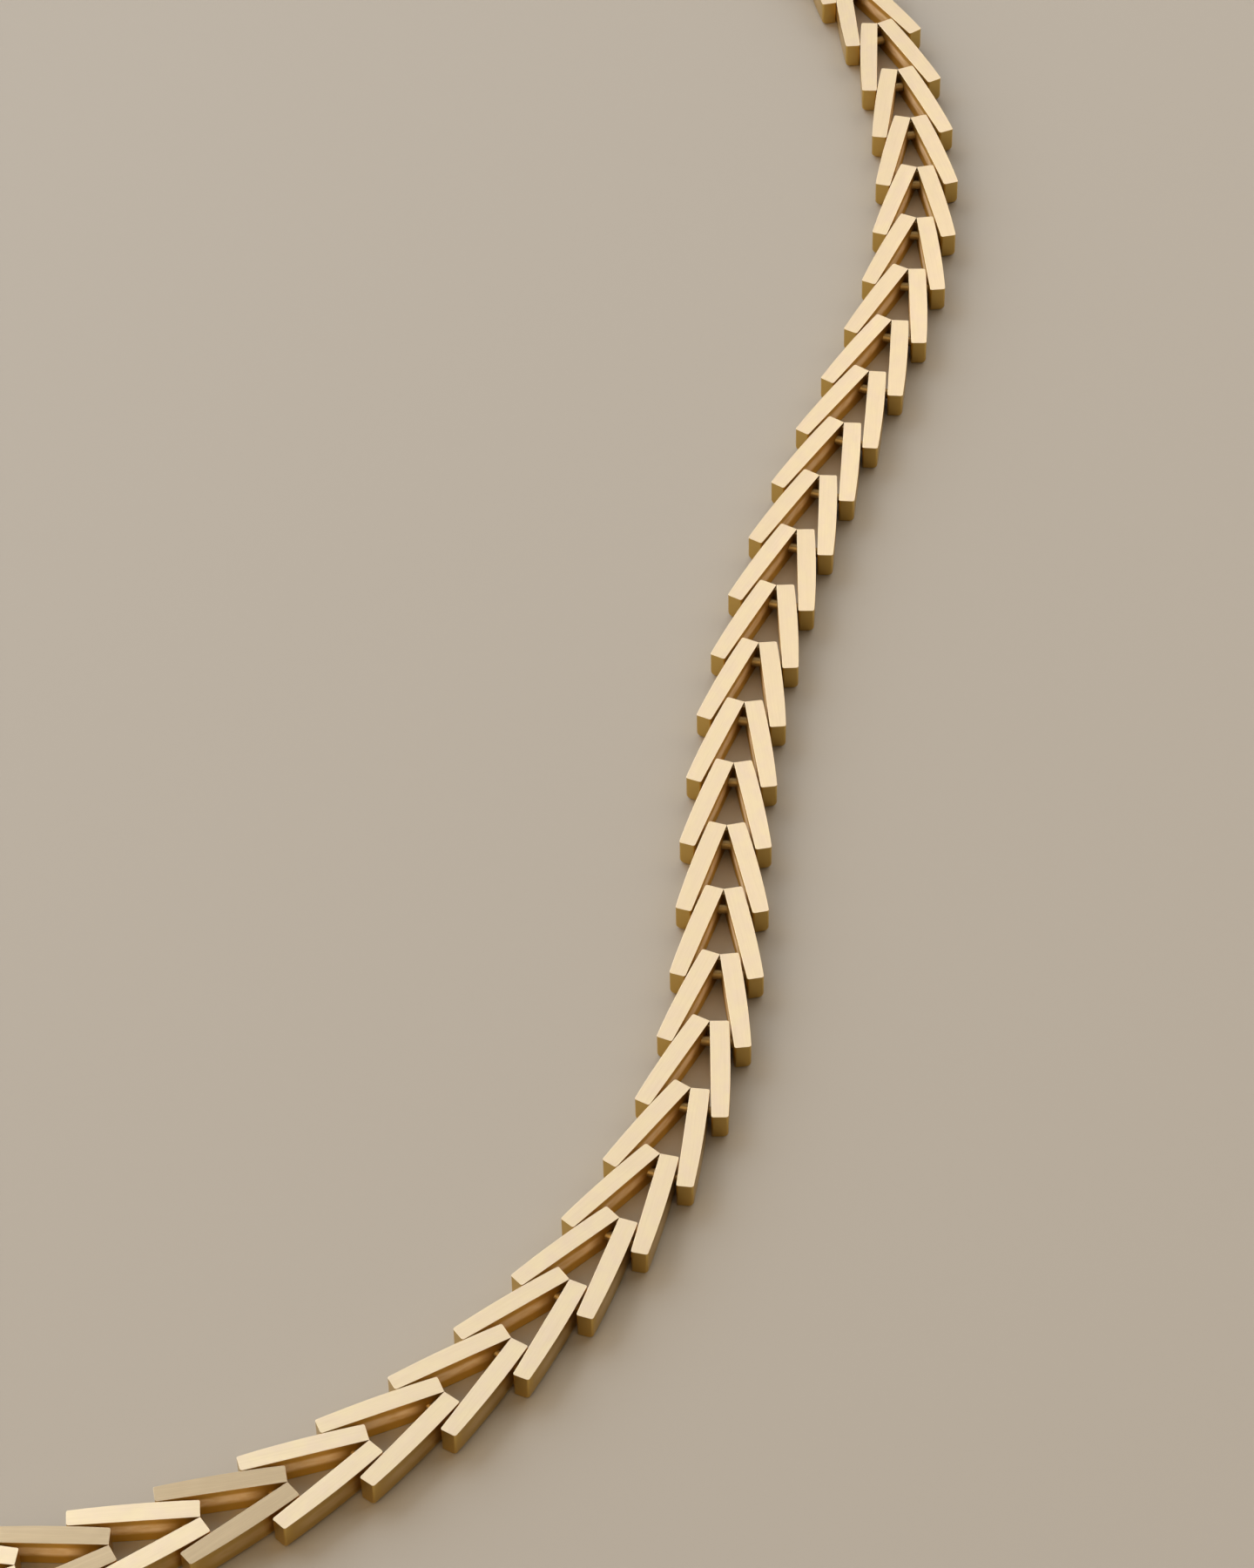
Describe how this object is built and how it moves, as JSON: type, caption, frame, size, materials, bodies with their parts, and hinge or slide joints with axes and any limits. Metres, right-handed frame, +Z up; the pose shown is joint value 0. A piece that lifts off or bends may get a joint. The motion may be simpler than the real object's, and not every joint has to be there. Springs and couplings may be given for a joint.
{
  "type": "geneva link chain",
  "caption": "Gold necklace chain of V-shaped links, each apex held between the open ends of the link before it by a cross pin, closed into a flat loop by a plain box clasp",
  "frame": {"origin": "under the middle of the loop's bounding box, on the surface that the necklace lies on", "axes": "+Z up from that surface, +Y towards the far side of the loop as the picture sees it, +X to the right; the loop is longest along Y and thinnest along Z"},
  "size_m": [0.1204, 0.1786, 0.002],
  "materials": {
    "gold": "satin"
  },
  "bodies": {
    "root": {"front_links": "gold", "back_links": "gold", "box_clasp": "gold"}
  },
  "joints": []
}
